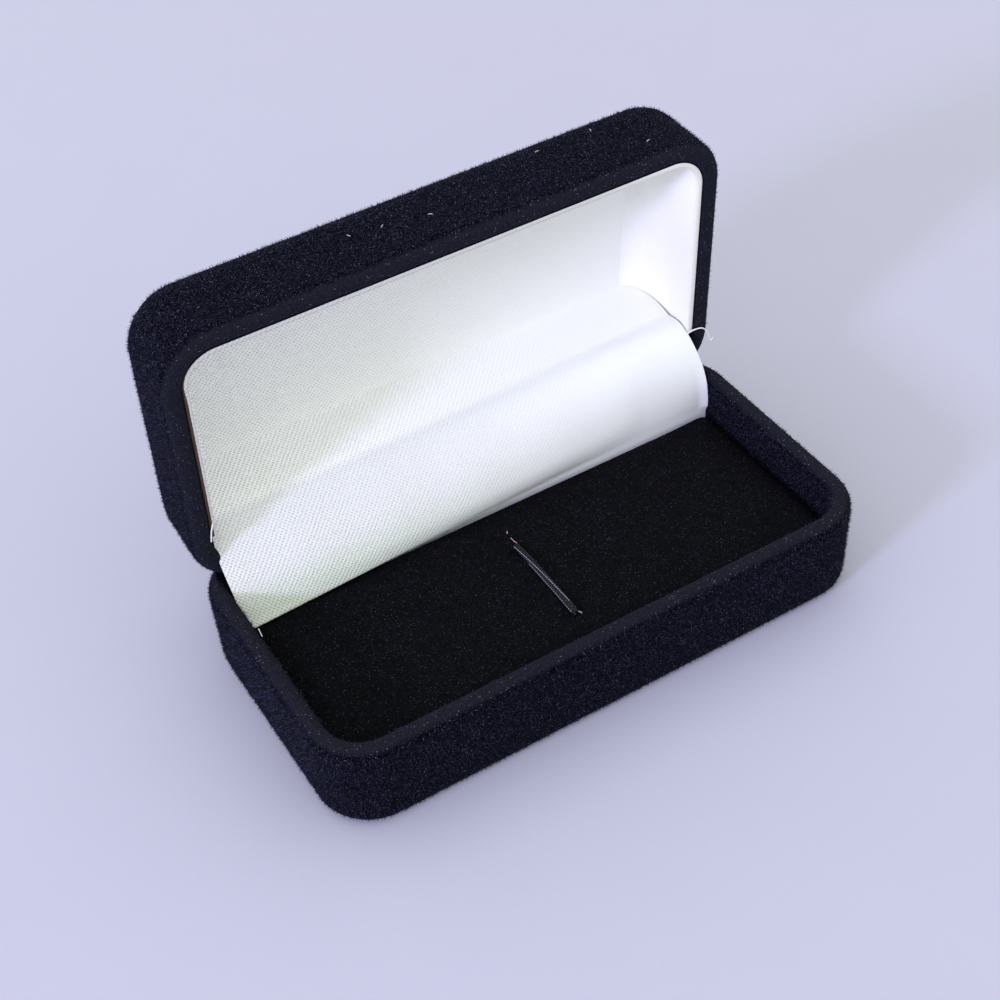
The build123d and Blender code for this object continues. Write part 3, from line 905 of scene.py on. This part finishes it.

# ---------------------------------------------------------------- strap's fine threads
# Pale filament floats over the braid's left side, in one row and then in two: painted highlights
# of the lamp on the glossy yarn. The holes that the strap goes through have frayed, with a pale
# tick beyond each end.
highlight_filament = Finish("painted_highlight_filament", Roughness=0.25, Base_Color=(0.36, 0.35, 0.52, 1))
highlight_floats, courses, course_length, second_row = [], 36, 0.42, 10
for course in range(courses):
    y = rear_y - 0.4 - course_length * course
    risen = over_z + yarn_radius
    risen += arch * math.sin(math.pi * (course + 1) / (courses + 1)) ** 0.8
    across = strap_half_width * max(-0.95, -0.25 - 0.7 * (1 - course / 14))
    z = risen + strap_half_depth * math.sqrt(1 - (across / strap_half_width) ** 2)
    x = 1000 * strap_x + across
    if course < courses - 4:
        highlight_floats.append([(x, y, z), (x + 0.02, y - 0.13, z + 0.05), (x + 0.03, y - 0.28, z)])
    if course >= second_row:
        x = 1000 * strap_x - strap_half_width - yarn_radius + 0.03
        highlight_floats.append([(x, y, risen), (x - 0.03, y - 0.09, risen), (x, y - 0.18, risen)])
hairs("painted_highlight_floats", highlight_floats, 0.045, highlight_filament, "base", taper=0.2, fineness=2)

frayed = Finish("frayed_yarn", Roughness=0.8, Base_Color=(0.5, 0.26, 0.25, 1))
frays = [[(-0.27, 5.85, 9.5), (-0.35, 5.3, 9.8), (-0.3, 4.9, 9.6)]]
frays.append([(-0.3, 4.95, 9.6), (-0.25, 4.7, 9.75), (-0.1, 4.4, 9.6)])
hairs("rear_frays", frays, 0.07, frayed, "base")
pale_tick = Finish("pale_tick", Roughness=0.7, Base_Color=(0.45, 0.45, 0.42, 1))
ticks = [[(0.1, -11.2, 9.1), (0.2, -11.45, 9.35), (0.25, -11.85, 9.25)]]
ticks.append([(-0.1, 7.2, 9.1), (0.0, 7.3, 9.4), (0.1, 7.5, 9.3)])
hairs("pale_ticks", ticks, 0.08, pale_tick, "base")

# ---------------------------------------------------------------- table and light
# The case stands on a pale table, lit by one lamp low on the left and by the
# soft light of the room.
table = Finish("pale_table", Roughness=0.75, Specular_IOR_Level=0.2)
mottled = table.grain(60, 3)
table.show(
    Base_Color=table.mix(mottled, (0.462, 0.46, 0.592, 1), (0.474, 0.472, 0.604, 1)),
    Normal=table.bump(table.grain(1500, 2), 0.00002),
)
bm = bmesh.new()
bmesh.ops.create_grid(bm, x_segments=1, y_segments=1, size=3)
floor = add_piece("floor", mesh_of(bm, "floor"))
table.on(floor)

world = bpy.data.worlds.new("room")
scene.world = world
world.use_nodes = True
room = world.node_tree.nodes["Background"]
room.inputs["Color"].default_value = (0.98, 1.0, 0.95, 1)
room.inputs["Strength"].default_value = 1.2

lamp = bpy.data.objects.new("key", bpy.data.lights.new("key", "AREA"))
lamp.data.size, lamp.data.energy, lamp.data.color = 0.22, 21.2, (0.63, 0.61, 1.0)
lamp.location = (-1.626, -0.466, 0.656)
lamp_aim = Vector((0, 0, 0.02)) - lamp.location
lamp.rotation_euler = lamp_aim.to_track_quat("-Z", "Y").to_euler()
scene.collection.objects.link(lamp)

scene.view_settings.view_transform = "Standard"
